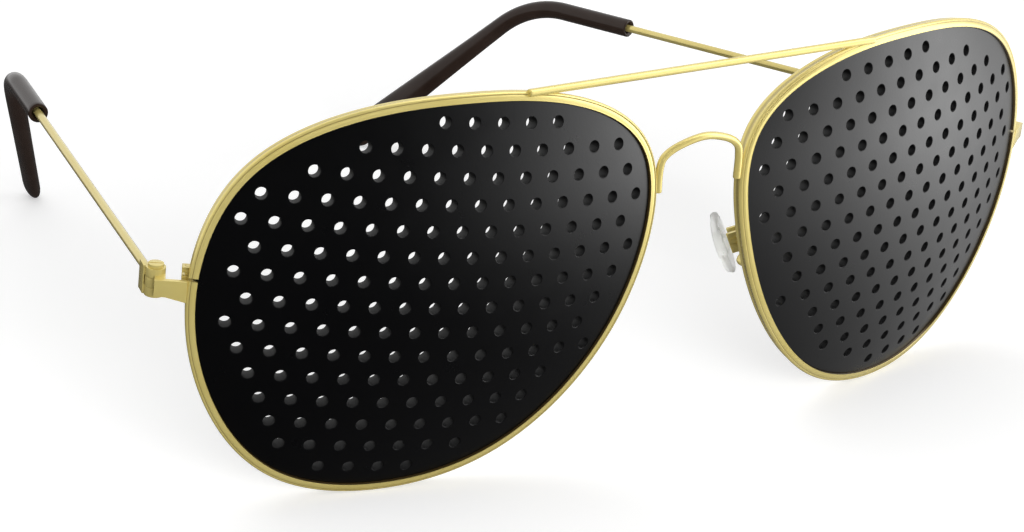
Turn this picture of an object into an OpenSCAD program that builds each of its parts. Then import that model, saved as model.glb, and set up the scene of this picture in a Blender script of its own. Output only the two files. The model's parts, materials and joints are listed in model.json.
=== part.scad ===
// Pinhole glasses: a metal aviator frame with two perforated lenses,
// two folding temples with sleeved tips and two rocking nose pads.
// The front is drawn with the wearer's left side at +X and the face at +Y,
// then the whole is leaned back until it stands on both rims and both tips.

/* [Eyes and lenses] */
// Inside width of one rim
eye_w = 59; // [55:0.2:63]
// Inside height of one rim
eye_h = 49.8; // [47:0.2:54]
// Least gap between the two rims' inside edges, across the nose
nose_gap = 16.4; // [14:0.2:20]
// Angle by which each eye wraps round the face
wrap = 13; // [8:1:16]
// Radius of the sphere that lenses and rims follow
lens_r = 86; // [80:1:120]
// Thickness of a lens
lens_t = 1.8; // [1.4:0.1:2]
// How far the front of a lens stands ahead of the middle of its rim
lens_front = 0.6; // [0.5:0.1:0.8]
// Thickness of the tongue round the edge of a lens
edge_t = 0.8; // [0.6:0.1:1]
// How far the tongue of a lens reaches into the groove of its rim
lens_bite = 0.3; // [0.2:0.05:0.4]
// Gap between a lens and its rim
lens_gap = 0.06; // [0.04:0.01:0.1]

/* [Pinholes] */
// Diameter of a pinhole
hole_d = 1.5; // [0.9:0.1:1.6]
// Distance between neighbouring pinholes in one row
hole_pitch = 3.86; // [3.5:0.02:5]
// Distance between rows
row_pitch = 3.245; // [3:0.005:4.5]
// Tilt of the rows, rising towards the temple
row_tilt = 4.9; // [0:0.1:8]
// Least distance from a pinhole's centre to the rim's inside edge
hole_margin = 1.9; // [1.6:0.02:4]

/* [Rims] */
// Width of the rim wire, seen from the front
rim_w = 1.25; // [1.1:0.05:1.6]
// Depth of the rim wire, front to back
rim_d = 2; // [1.8:0.1:2.6]
// Depth of the decorative groove round the outside
bead_groove = 0.13; // [0.05:0.01:0.2]
// Gap where the rim wire is split at the temple side
rim_split = 0.4; // [0.2:0.1:0.8]
// Height of the split above the middle of the end piece
split_up = 1.2; // [1.1:0.1:2]

/* [Bridges] */
// Diameter of the brow bar and of the bridge wire
bar_d = 1; // [0.8:0.1:1.4]
// Height of the top of the nose bridge above the lens centres
bridge_top = 15.9; // [15:0.1:18]
// How far the middle of the nose bridge stands forward of its feet
bridge_bow = 0.4; // [0:0.1:2]
// Length of the brow bar that runs on past each place where it meets a rim
brow_overhang = 0.6; // [0.3:0.1:2]

/* [End pieces and hinges] */
// Height of an end piece
end_h = 2.1; // [2:0.1:3]
// How much further down an end piece reaches at its rim than at its hinge
end_flare = 0.6; // [0:0.1:1]
// Thickness of the plate of an end piece
end_t = 0.65; // [0.5:0.05:0.7]
// Hinge axis, outwards from the rim's inside edge
hinge_out = 4.9; // [4.5:0.1:6]
// Hinge axis, behind the middle of the rim
hinge_back = 1.5; // [1.4:0.1:2.2]
// Radius of the hinge knuckles
knuckle_r = 1.2; // [1.1:0.05:1.4]
// Height of the middle knuckle, on the temple
knuckle_h = 1.2; // [1:0.1:1.6]
// Height of the two outer knuckles, on the end piece
ear_h = 1.15; // [0.9:0.05:1.5]
// Radius of the hinge screw
screw_r = 0.55; // [0.4:0.05:0.6]
// Radius of the screw that closes a rim
rim_screw_r = 0.3; // [0.3:0.05:0.4]
// Running clearance of screws, knuckles and stops
clear = 0.05; // [0.03:0.01:0.08]

/* [Temples] */
// Diameter of the temple wire
wire_d = 1.1; // [0.9:0.1:1.3]
// Hinge axis to the mouth of the tip
wire_l = 65.5; // [60:0.5:80]
// Angle by which a temple runs inwards
splay = 16.6; // [12:0.2:20]
// Angle by which a temple falls
fall = 4.3; // [2:0.1:8]
// Diameter of the tip, from its mouth to the end of the bend
tip_d = 2.7; // [2.4:0.1:3.4]
// Straight length of the tip before its bend
tip_straight = 12.5; // [8:0.5:20]
// Radius of the bend round the ear, at the tip's middle line
ear_r = 15; // [12:0.5:24]
// Angle of the bend round the ear
ear_bend = 46; // [35:1:60]
// Angle by which the bend leans inwards
ear_lean = 20; // [0:1:25]
// Length of the tip's leg, from the bend to the middle of its paddle end
leg_l = 31; // [24:0.5:40]
// Width of the leg at its paddle end
paddle_w = 4.8; // [3:0.1:6]
// Thickness of the leg at its paddle end
paddle_t = 2.3; // [2:0.1:2.8]
// Length of wire inside the leg of the tip
core_l = 18; // [10:1:22]

/* [Nose pads] */
// Height of a nose pad
pad_h = 8.5; // [8:0.5:15]
// Width of a nose pad
pad_w = 6; // [5.5:0.5:9]
// Thickness of a nose pad
pad_t = 1.5; // [1.3:0.1:2]
// Distance between the middles of the two pads
pad_gap = 23.4; // [22:0.2:28]
// Distance of the pad middles behind the lens centres
pad_back = 6; // [5:0.2:8]
// Distance of the pad middles below the lens centres
pad_drop = 4.1; // [3:0.2:8]
// Angle by which the pads open towards the face
pad_splay = 40; // [30:1:50]
// Angle by which the pads open downwards
pad_flare = 26; // [10:1:28]
// Diameter of a pad arm
arm_d = 0.9; // [0.7:0.1:1.1]

/* [Hidden] */
gold = "goldenrod";
sleeve = [0.16, 0.13, 0.12];
plastic = [0.05, 0.05, 0.06];
clear_grey = [0.85, 0.87, 0.88];
$fn = 48;

// Points on the inside edge of a rim, [towards the temple, up] from the lens centre:
// temple side, over the top, nose side and bottom
eye_shape = [[25.9, 1.5], [20.9, 14.9], [8.4, 21.8], [-6, 23.4], [-20.4, 21.7], [-31.7, 13.9],
    [-31.6, -0.4], [-24.9, -13.4], [-13.9, -22.8], [0, -26.3], [13.8, -23.6], [23, -12.8]];
knots = len(eye_shape);
steps = 6;
// Where things meet the rim, counted along those points
end_at = 0;
brow_at = 3.55;
foot_at = 5.4;
arm_at = 6.25;
// Middle of the pattern of pinholes
hole_middle = [0.6, 5.45];
reach = 6;

// Sum of a list of numbers or points
function total(list) = [for (v = list) 1] * list;
function unit(v) = v / norm(v);

// A smooth closed curve through points: its weights fall off by a fixed ratio per point
function weight(k) = sqrt(3) * pow(sqrt(3) - 2, abs(k));
function pulled(pts) = [for (i = [0 : knots - 1])
    total([for (k = [-reach : reach]) weight(k) * pts[(i + k + knots) % knots]])];
function blend(a, b, c, d, t) = (pow(1 - t, 3) * a + (3 * pow(t, 3) - 6 * t * t + 4) * b
    + (-3 * pow(t, 3) + 3 * t * t + 3 * t + 1) * c + pow(t, 3) * d) / 6;
function curve(pull, s) = let (u = s - knots * floor(s / knots), i = floor(u))
    blend(pull[(i + knots - 1) % knots], pull[i], pull[(i + 1) % knots],
        pull[(i + 2) % knots], u - i);
function span(list, axis) = max([for (p = list) p[axis]]) - min([for (p = list) p[axis]]);

stations = [for (i = [0 : knots * steps - 1]) i / steps];
drawn = pulled(eye_shape);
drawn_line = [for (s = stations) curve(drawn, s)];
eye_scale = [eye_w / span(drawn_line, 0), eye_h / span(drawn_line, 1)];
eye_pull = [for (p = drawn) [p.x * eye_scale.x, p.y * eye_scale.y]];
function ring(s) = curve(eye_pull, s);
ring_line = [for (s = stations) ring(s)];

// Depth of the lens sphere, and the rim's own directions at a place along it
function dome(x, z) = lens_r - sqrt(pow(lens_r, 2) - x * x - z * z);
function seat(s) = let (p = ring(s)) [p.x, dome(p.x, p.y), p.y];
function along(s) = unit(seat(s + 0.02) - seat(s - 0.02));
function deep(s) = unit([0, lens_r, 0] - seat(s));
function outward(s) = cross(deep(s), along(s));
function rim_point(s, out, back) = seat(s) + out * outward(s) + back * deep(s);

// From one eye to the front of the glasses
function turned(p, a) = [p.x * cos(a) - p.y * sin(a), p.x * sin(a) + p.y * cos(a), p.z];
nose_side = min([for (s = stations) turned(seat(s), wrap).x]);
eye_x = nose_gap / 2 - nose_side;
function front(p) = turned(p, wrap) + [eye_x, 0, 0];

// Rim section, [outwards, back]: a groove for the lens inside, two beads outside
groove_h = edge_t / 2 + lens_gap;
groove_w = lens_bite + 0.35;
lip = 0.12;
corner = 0.42;
rim_section = let (d = rim_d / 2, w = rim_w, c = corner) concat(
    [[groove_w, -groove_h], [0, -groove_h], [0, lip - d], [lip, -d]],
    [for (a = [-90 : 30 : 0]) [w - c + c * cos(a), c - d + c * sin(a)]],
    [[w - bead_groove, 0]],
    [for (a = [0 : 30 : 90]) [w - c + c * cos(a), d - c + c * sin(a)]],
    [[lip, d], [0, d - lip], [0, groove_h], [groove_w, groove_h]]);

// Hinge and temple places
rim_out = atan2(outward(end_at).y, outward(end_at).x);
end_seat = seat(end_at);
end_turn = rim_out + wrap;
hinge_xy = front(end_seat) + turned([hinge_out, hinge_back, 0], end_turn);
hinge_z = end_seat.z;
hinge = [hinge_xy.x, hinge_xy.y, hinge_z];
wire_r = wire_d / 2;
tip_r = tip_d / 2;
bore_r = wire_r + clear;
bend_from = wire_l + tip_straight;
hinge_h = knuckle_h + 2 * clear + 2 * ear_h;
// The butt of a temple is the sleeve behind the knuckle that holds the wire
butt_r = wire_r + 0.2;
butt_from = knuckle_r + 0.25;
butt_l = 2.8;
wire_from = butt_from + 0.8;
stop_at = butt_r;
ball_skin = 0.02;
collar_skin = 0.06;
collar_l = 0.4;

// Brow bar and bridge places
bar_r = bar_d / 2;
brow_seat = front(rim_point(brow_at, rim_w - 0.2, -rim_d / 2 - bar_r * 0.2));
foot = front(rim_point(foot_at, rim_w + bar_r * 0.8, -0.6));

// Lean: the steepest line under a rim that also touches the end of a tip
function fallen(p) = [p.x, p.y * cos(fall) + p.z * sin(fall), p.z * cos(fall) - p.y * sin(fall)];
function leaned(p) = [p.x * cos(ear_lean) + p.z * sin(ear_lean), p.y,
    p.z * cos(ear_lean) - p.x * sin(ear_lean)];
leg_end = [0, bend_from + ear_r * sin(ear_bend) + leg_l * cos(ear_bend),
    ear_r * (cos(ear_bend) - 1) - leg_l * sin(ear_bend)];
function temple_way(v) = turned(fallen(leaned(v)), splay);
tip_end = hinge + temple_way(leg_end);
leg_ways = [temple_way([1, 0, 0]), temple_way([0, cos(ear_bend), -sin(ear_bend)]),
    temple_way([0, sin(ear_bend), cos(ear_bend)])];
// How far the paddle end reaches from its middle in a direction
function paddle_reach(way) = norm([paddle_t / 2 * (leg_ways[0] * way),
    paddle_w / 2 * (leg_ways[1] * way), paddle_w / 2 * (leg_ways[2] * way)]);
rim_under = [for (s = stations, q = rim_section) front(rim_point(s, q.x, q.y))];
function lean_for(down) = -max([for (p = rim_under) let (v = tip_end - p, w = norm([v.y, v.z]))
    atan2(v.z, v.y) - asin(down / w)]);
first_lean = lean_for(paddle_reach([0, 0, 1]));
lean = lean_for(paddle_reach([0, sin(first_lean), cos(first_lean)]));
function stood_y(p) = p.y * cos(lean) - p.z * sin(lean);
function stood_z(p) = p.y * sin(lean) + p.z * cos(lean);
floor_z = min([for (p = rim_under) stood_z(p)]);
bulge_y = stood_y(front([0, lens_r, 0])) - lens_r - lens_front;
face_y = min(min([for (p = rim_under) stood_y(p)]), bulge_y, stood_y(brow_seat) - bar_r);
back_y = stood_y(tip_end) + paddle_reach([0, cos(lean), -sin(lean)]);
stand = [0, -(face_y + back_y) / 2, -floor_z];

module standing() {
    translate(stand)
        rotate([lean, 0, 0])
            children();
}

// side is 1 for the wearer's left and -1 for the wearer's right
module on_side(side) {
    standing()
        mirror([side < 0 ? 1 : 0, 0, 0])
            children();
}

module at_eye(side) {
    on_side(side)
        translate([eye_x, 0, 0])
            rotate([0, 0, wrap])
                children();
}

// A tube swept through a list of points, with flat ends
module tube(path, r, sides = 12) {
    last = len(path) - 1;
    dirs = [for (i = [0 : last]) unit(path[min(i + 1, last)] - path[max(i - 1, 0)])];
    side_dirs = [for (d = dirs) unit(cross(d, [0.1, 0.2, 1]))];
    points = [for (i = [0 : last], j = [0 : sides - 1]) let (a = 360 * j / sides)
        path[i] + r * (cos(a) * side_dirs[i] + sin(a) * cross(dirs[i], side_dirs[i]))];
    walls = [for (i = [0 : last - 1], j = [0 : sides - 1])
        let (a = i * sides, k = (j + 1) % sides)
            [a + j, a + sides + j, a + sides + k, a + k]];
    polyhedron(points, concat(split(walls), [[for (j = [0 : sides - 1]) j],
        [for (j = [sides - 1 : -1 : 0]) last * sides + j]]), convexity = 6);
}

function split(quads) = [for (q = quads, t = [0, 1])
    t == 0 ? [q[0], q[1], q[2]] : [q[0], q[2], q[3]]];

// Points of a smooth line through a few chosen points, mirrored or not
function smooth(p, n = 6) = let (m = len(p) - 1)
    concat([for (i = [0 : m - 1], j = [0 : n - 1]) let (t = j / n,
        a = (p[i + 1] - p[max(i - 1, 0)]) / 2, b = (p[min(i + 2, m)] - p[i]) / 2)
        (2 * pow(t, 3) - 3 * t * t + 1) * p[i] + (pow(t, 3) - 2 * t * t + t) * a
        + (3 * t * t - 2 * pow(t, 3)) * p[i + 1] + (pow(t, 3) - t * t) * b], [p[m]]);

// Rim: the section swept all round the eye, open at the split
module rim(side) {
    edge = norm(seat(end_at + 0.5) - seat(end_at - 0.5));
    half = rim_split / 2 / edge;
    split_at = end_at + split_up / edge;
    cuts = concat([split_at + half], [for (s = stations) if (s > split_at + half) s],
        [for (s = stations) if (s < split_at - half) knots + s], [knots + split_at - half]);
    n = len(rim_section);
    last = len(cuts) - 1;
    points = [for (s = cuts, q = rim_section) rim_point(s, q.x, q.y)];
    walls = [for (i = [0 : last - 1], j = [0 : n - 1])
        let (a = i * n, k = (j + 1) % n) [a + j, a + n + j, a + n + k, a + k]];
    color(gold)
        at_eye(side)
            polyhedron(points, concat(split(walls), [[for (j = [0 : n - 1]) j],
                [for (j = [n - 1 : -1 : 0]) last * n + j]]), convexity = 10);
}

// Pinhole places: staggered rows, kept where they are clear of the rim
function hole_place(c, j) = let (x = (c + (j % 2 == 0 ? 0 : 0.5)) * hole_pitch,
    z = -j * row_pitch) hole_middle
    + [x * cos(row_tilt) - z * sin(row_tilt), x * sin(row_tilt) + z * cos(row_tilt)];
function inside(p) = min([for (i = [0 : len(ring_line) - 1])
    let (a = ring_line[i], b = ring_line[(i + 1) % len(ring_line)], d = unit(b - a))
        norm(p - a) > 2 * hole_pitch ? 2 * hole_pitch
        : d.x * (p.y - a.y) - d.y * (p.x - a.x)]);
rows = ceil(eye_h / row_pitch / 2) + 2;
columns = ceil(eye_w / hole_pitch / 2) + 2;
holes = [for (j = [-rows : rows], c = [-columns : columns]) let (p = hole_place(c, j))
    if (norm([p.x / eye_w, p.y / eye_h]) < 0.7 && within(p)) p];
function within(p) = inside(p) >= hole_margin && wraps(p);
function wraps(p) = abs(total([for (i = [0 : len(ring_line) - 1])
    let (a = ring_line[i] - p, b = ring_line[(i + 1) % len(ring_line)] - p)
        atan2(a.x * b.y - a.y * b.x, a * b)])) > 180;

// Lens: a full core, a shoulder that fills the rim in front of its groove and the tongue
// in the groove, all slices of hollow spheres, drilled square to the surface
module lens(side) {
    step = 0.05;
    color(plastic)
        at_eye(side)
            difference() {
                union() {
                    slice(-lens_front, lens_t - lens_front, -lens_gap, rim_d / 2);
                    slice(step - lens_front, edge_t / 2 - step, -lens_gap, edge_t / 2);
                    slice(-edge_t / 2, edge_t / 2, lens_bite, 0);
                }
                for (p = holes)
                    pinhole(p);
            }
}

// Slice of the lens between two depths behind the rim's middle, that ends so far outside
// the rim's inside edge at a third depth
module slice(from, to, out, at) {
    intersection() {
        translate([0, lens_r, 0])
            difference() {
                sphere(lens_r - from, $fn = 240);
                sphere(lens_r - to, $fn = 240);
            }
        translate([0, lens_r / 3, 0])
            rotate([90, 0, 0])
                linear_extrude(lens_r / 2)
                    polygon([for (s = stations) let (p = rim_point(s, out, at)) [p.x, p.z]]);
    }
}

module pinhole(p) {
    up = -asin(p.y / lens_r);
    across = asin(p.x / lens_r / cos(up));
    translate([0, lens_r, 0])
        rotate([up, 0, across])
            translate([0, -lens_r, 0])
                rotate([90, 0, 0])
                    cylinder(h = 3 * lens_t, d = hole_d, center = true, $fn = 24);
}

// Brow bar: a straight wire laid on the top of both rims
module brow_bar() {
    half = brow_seat.x + brow_overhang;
    color(gold)
        standing()
            translate([-half, brow_seat.y, brow_seat.z])
                rotate([0, 90, 0])
                    cylinder(h = 2 * half, r = bar_r);
}

// Bridge: a wire whose legs run down the nose sides of the rims
module bridge() {
    crown = bridge_top - bar_r;
    leg_top = foot + [0, 0.2, 3];
    shoulder = [foot.x - 0.55, leg_top.y, crown - 2.1];
    mid = [foot.x * 0.58, leg_top.y - bridge_bow / 2, crown - 0.8];
    right = [foot, leg_top, shoulder, mid];
    points = concat(right, [[0, leg_top.y - bridge_bow, crown]],
        [for (i = [3 : -1 : 0]) [-right[i].x, right[i].y, right[i].z]]);
    color(gold)
        standing()
            tube(smooth(points, 5), bar_r);
}

// Frame of the end piece: x outwards along the rim, y back, z up
module at_end(side) {
    on_side(side)
        translate(front(end_seat))
            rotate([0, 0, end_turn])
                children();
}

block_in = 0.45;
block_l = 1.4;
block_h = 0.7;
block_top = rim_split / 2 + block_h;
block_back = hinge_back + 0.6;
plate_back = end_t - rim_d / 2;
screw_out = block_in + block_l / 2;
screw_back = (rim_d / 2 + block_back) / 2;

// A screw along z: its shank starts at 0, and its slotted head sits past the length
head_gap = 0.02;
slot_w = 0.18;
module screw(r, length, head_r, head_h) {
    top = length + head_gap + head_h;
    difference() {
        union() {
            cylinder(h = top - head_h / 2, r = r);
            translate([0, 0, length + head_gap])
                cylinder(h = head_h, r = head_r);
        }
        translate([-2 * head_r, -slot_w / 2, top - head_h * 0.4])
            cube([4 * head_r, slot_w, head_h]);
    }
}

// Closing block: one of the two blocks behind the rim that the rim screw pulls together
module closing_block(side, up) {
    color(gold)
        at_end(side)
            translate([0, 0, split_up])
                mirror([0, 0, up > 0 ? 0 : 1])
                    difference() {
                        translate([block_in, rim_d / 2 - 0.08, rim_split / 2])
                            cube([block_l, block_back - rim_d / 2 + 0.08, block_h]);
                        translate([screw_out, screw_back, 0])
                            cylinder(h = 2 * block_top, r = rim_screw_r + clear);
                    }
}

module rim_screw(side) {
    color(gold)
        at_end(side)
            translate([screw_out, screw_back, split_up + block_top])
                mirror([0, 0, 1])
                    screw(rim_screw_r, 2 * block_top, rim_screw_r + 0.28, 0.3);
}

// End piece: a plate along the rim's front, a web and the two outer knuckles
module end_piece(side) {
    web_in = hinge_out - knuckle_r;
    color(gold)
        at_end(side)
            difference() {
                union() {
                    translate([0, plate_back, 0])
                        rotate([90, 0, 0])
                            linear_extrude(end_t)
                                polygon([[rim_w - 0.1, end_h / 2], [rim_w - 0.1,
                                    -end_h / 2 - end_flare], [web_in, -end_h / 2],
                                    [hinge_out + 0.1, -end_h / 2], [hinge_out + 0.1, end_h / 2]]);
                    translate([web_in, plate_back - 0.1, -end_h / 2])
                        cube([hinge_out + 0.1 - web_in, hinge_back - plate_back, end_h]);
                    translate([hinge_out, hinge_back, -hinge_h / 2])
                        cylinder(h = hinge_h, r = knuckle_r);
                    translate([hinge_out, hinge_back, 0])
                        rotate([0, 0, splay - end_turn])
                            translate([stop_at + clear, 0.3, -hinge_h / 2])
                                cube([knuckle_r - stop_at + 0.15, knuckle_r + 0.7, hinge_h]);
                }
                translate([hinge_out, hinge_back, -knuckle_h / 2 - clear])
                    cylinder(h = knuckle_h + 2 * clear, r = knuckle_r + 2 * clear);
                translate([hinge_out, hinge_back, -hinge_h])
                    cylinder(h = 2 * hinge_h, r = screw_r + clear);
            }
}

module hinge_screw(side) {
    color(gold)
        at_end(side)
            translate([hinge_out, hinge_back, -hinge_h / 2])
                screw(screw_r, hinge_h, screw_r + 0.4, 0.4);
}

// Frame of a temple: y along the wire, x away from the head
module at_temple(side) {
    on_side(side)
        translate(hinge)
            rotate([0, 0, splay])
                children();
}

module temple_hinge(side) {
    color(gold)
        at_temple(side)
            difference() {
                union() {
                    translate([0, 0, -knuckle_h / 2])
                        cylinder(h = knuckle_h, r = knuckle_r);
                    translate([-stop_at + clear, 0.5, -knuckle_h / 2])
                        cube([2 * (stop_at - clear), butt_from, knuckle_h]);
                    rotate([-fall, 0, 0])
                        translate([0, butt_from, 0])
                            rotate([-90, 0, 0])
                                cylinder(h = butt_l, r = butt_r);
                }
                translate([0, 0, -knuckle_h])
                    cylinder(h = 2 * knuckle_h, r = screw_r + clear);
                rotate([-fall, 0, 0])
                    translate([0, wire_from, 0])
                        rotate([-90, 0, 0])
                            cylinder(h = 2 * butt_l, r = wire_r);
            }
}

// A rod that runs along the wire, round the ear and down the leg of the tip,
// with a ball where its straight lengths meet the bend
module ear_rod(from, r, leg) {
    translate([0, from, 0])
        rotate([-90, 0, 0])
            cylinder(h = bend_from - from, r = r);
    translate([0, bend_from, 0])
        sphere(r + ball_skin);
    translate([0, bend_from, -ear_r])
        rotate([0, -90, 0])
            rotate_extrude(angle = ear_bend, $fn = 96)
                translate([ear_r, 0])
                    circle(r);
    at_leg() {
        sphere(r + ball_skin);
        rotate([-90, 0, 0])
            cylinder(h = leg, r = r);
    }
}

module at_leg() {
    translate([0, bend_from, -ear_r])
        rotate([-ear_bend, 0, 0])
            translate([0, 0, ear_r])
                children();
}

module temple_wire(side) {
    color(gold)
        at_temple(side)
            rotate([-fall, 0, 0])
                rotate([0, ear_lean, 0])
                    ear_rod(wire_from, wire_r, core_l);
}

module temple_tip(side) {
    color(sleeve)
        at_temple(side)
            rotate([-fall, 0, 0])
                rotate([0, ear_lean, 0])
                    difference() {
                        union() {
                            ear_rod(wire_l, tip_r, collar_l);
                            at_leg()
                                paddle();
                        }
                        ear_rod(wire_l - 1, bore_r, core_l + 0.3);
                    }
}

// Leg of a tip: it widens from a collar on the bend to a flattened, rounded end
module paddle() {
    hull() {
        translate([0, -collar_l, 0])
            rotate([-90, 0, 0])
                cylinder(h = collar_l, r = tip_r + collar_skin, $fn = 32);
        translate([0, leg_l, 0])
            scale([paddle_t / paddle_w, 1, 1])
                sphere(paddle_w / 2, $fn = 36);
    }
}

// Frame of a nose pad: x away from the nose, y along its width, z up its length
pad_at = [pad_gap / 2, pad_back, -pad_drop];
box_w = 2.4;
box_l = 2.8;
box_wall = 0.5;
box_d = 2.1;
box_open = 0.7;
tab_t = box_w - 2 * box_wall - 0.2;
pad_skin = 0.35;
pin_out = pad_t / 2 + 1.15;
pad_pin_r = 0.4;

module at_pad(side) {
    on_side(side)
        translate(pad_at)
            rotate([0, 0, -pad_splay])
                rotate([0, -pad_flare, 0])
                    children();
}

function pad_place(p) = let (q = [p.x * cos(pad_flare) - p.z * sin(pad_flare), p.y,
    p.z * cos(pad_flare) + p.x * sin(pad_flare)]) pad_at + turned(q, -pad_splay);

module nose_pad(side) {
    color(clear_grey)
        at_pad(side)
            difference() {
                intersection() {
                    rotate([0, 90, 0])
                        linear_extrude(pad_t, center = true)
                            pad_outline();
                    translate([pad_h * 1.5, 0, 0])
                        sphere(pad_h * 1.5 + pad_t / 2, $fn = 240);
                }
                translate([-pad_t / 2 + pad_skin, -tab_t / 2, -box_l / 2])
                    cube([pad_t, tab_t, box_l]);
            }
}

// Outline of a pad: a tall oval made of two end circles and two side arcs
module pad_outline() {
    end_r = pad_w * 0.42;
    arc_r = pad_h;
    $fn = 120;
    intersection() {
        square([pad_h, pad_w], center = true);
        union() {
            translate([pad_h / 2 - end_r, 0])
                circle(end_r);
            translate([end_r - pad_h / 2, 0])
                circle(end_r);
            intersection() {
                square([pad_h - 2 * end_r, pad_w], center = true);
                translate([0, arc_r - pad_w / 2])
                    circle(arc_r);
                translate([0, pad_w / 2 - arc_r])
                    circle(arc_r);
            }
        }
    }
}

// Insert: the tab moulded into the pad, drilled for the pad screw
module pad_insert(side) {
    tab_r = pad_pin_r + 0.4;
    color("silver")
        at_pad(side)
            difference() {
                union() {
                    translate([-pad_t / 2 + pad_skin, -tab_t / 2, -box_l / 2])
                        cube([pad_t - pad_skin, tab_t, box_l]);
                    translate([pad_t / 2 - 0.1, -tab_t / 2, -tab_r])
                        cube([pin_out - pad_t / 2 + 0.1, tab_t, 2 * tab_r]);
                    translate([pin_out, 0, 0])
                        rotate([90, 0, 0])
                            cylinder(h = tab_t, r = tab_r, center = true);
                }
                translate([pin_out, 0, 0])
                    rotate([90, 0, 0])
                        cylinder(h = 2 * tab_t, r = pad_pin_r + clear, center = true);
            }
}

// Box: two cheeks round the tab, closed on the side of the pad arm
module pad_box(side) {
    color(gold)
        at_pad(side)
            translate([pin_out, 0, 0])
                difference() {
                    translate([-box_open, -box_w / 2, -box_l / 2])
                        cube([box_d, box_w, box_l]);
                    translate([-box_d, -box_w / 2 + box_wall, -box_l])
                        cube([2 * box_d - box_open - box_wall, box_w - 2 * box_wall, 2 * box_l]);
                    rotate([90, 0, 0])
                        cylinder(h = 2 * box_w, r = pad_pin_r + clear, center = true);
                }
}

module pad_screw(side) {
    color(gold)
        at_pad(side)
            translate([pin_out, box_w / 2, 0])
                rotate([90, 0, 0])
                    screw(pad_pin_r, box_w, pad_pin_r + 0.25, 0.3);
}

// Pad arm: a bent wire from the back of the rim to the back of the pad box
module pad_arm(side) {
    start = front(rim_point(arm_at, rim_w * 0.55, rim_d / 2 - 0.1));
    end = pad_place([pin_out + box_d - box_open - 0.05, 0, 0]);
    before = pad_place([pin_out + box_d + 1, -0.8, 0.6]);
    points = [start, start + [0.2, 1.2, 0], [(start.x * 2 + before.x) / 3 + 0.6,
        (start.y + before.y) / 2 + 0.4, (start.z * 2 + before.z) / 3], before, end];
    color(gold)
        on_side(side)
            tube(smooth(points, 4), arm_d / 2, 10);
}

sleeve_wall = tip_straight - sqrt(pow(tip_r + ball_skin, 2) - pow(tip_r, 2));
sleeve_way = temple_way([0, 1, 0]);
sleeve_middle = hinge + (wire_l + sleeve_wall / 2) * sleeve_way;
echo(lean = lean, stand = stand, hinge = hinge, tip_r = tip_r, sleeve_wall = sleeve_wall);
echo(sleeve_middle = sleeve_middle, sleeve_way = sleeve_way);
echo(pad_pin = pad_place([pin_out, 0, 0]), pad_axis = pad_place([0, 1, 0]) - pad_at);
echo(pad_middle = [0, pad_back, -pad_drop], pad_gap = pad_gap, holes = len(holes));

rim(1);  // rim_left
rim(-1);  // rim_right
lens(1);  // lens_left
lens(-1);  // lens_right
brow_bar();
bridge();
end_piece(1);  // end_piece_left
end_piece(-1);  // end_piece_right
closing_block(1, 1);  // closing_block_upper_left
closing_block(-1, 1);  // closing_block_upper_right
closing_block(1, -1);  // closing_block_lower_left
closing_block(-1, -1);  // closing_block_lower_right
rim_screw(1);  // rim_screw_left
rim_screw(-1);  // rim_screw_right
hinge_screw(1);  // hinge_screw_left
hinge_screw(-1);  // hinge_screw_right
temple_hinge(1);  // temple_hinge_left
temple_hinge(-1);  // temple_hinge_right
temple_wire(1);  // temple_wire_left
temple_wire(-1);  // temple_wire_right
temple_tip(1);  // temple_tip_left
temple_tip(-1);  // temple_tip_right
pad_arm(1);  // pad_arm_left
pad_arm(-1);  // pad_arm_right
pad_box(1);  // pad_box_left
pad_box(-1);  // pad_box_right
pad_screw(1);  // pad_screw_left
pad_screw(-1);  // pad_screw_right
pad_insert(1);  // pad_insert_left
pad_insert(-1);  // pad_insert_right
nose_pad(1);  // nose_pad_left
nose_pad(-1);  // nose_pad_right
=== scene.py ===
import json
import math

import bmesh
import bpy
import numpy as np
from mathutils import Euler, Matrix, Vector


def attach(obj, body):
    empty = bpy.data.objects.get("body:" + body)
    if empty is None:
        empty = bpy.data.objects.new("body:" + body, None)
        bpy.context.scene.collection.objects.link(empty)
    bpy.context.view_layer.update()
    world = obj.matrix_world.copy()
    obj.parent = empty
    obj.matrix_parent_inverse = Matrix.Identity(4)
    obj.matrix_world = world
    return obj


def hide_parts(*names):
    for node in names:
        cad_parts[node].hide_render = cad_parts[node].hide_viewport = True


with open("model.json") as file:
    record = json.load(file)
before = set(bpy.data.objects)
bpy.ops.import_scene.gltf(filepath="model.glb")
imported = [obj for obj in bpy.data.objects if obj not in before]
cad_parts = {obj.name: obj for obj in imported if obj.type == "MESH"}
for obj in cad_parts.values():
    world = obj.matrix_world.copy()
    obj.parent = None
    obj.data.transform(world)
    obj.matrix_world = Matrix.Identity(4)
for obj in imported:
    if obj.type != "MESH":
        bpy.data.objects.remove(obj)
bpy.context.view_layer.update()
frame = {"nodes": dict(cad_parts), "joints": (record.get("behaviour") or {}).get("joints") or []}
mm = 0.001
weld = 0.000002  # metres: points closer than this are one
bothSides = ((1, "left"), (-1, "right"))  # the wearer's sides
print("frame loaded")

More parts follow.
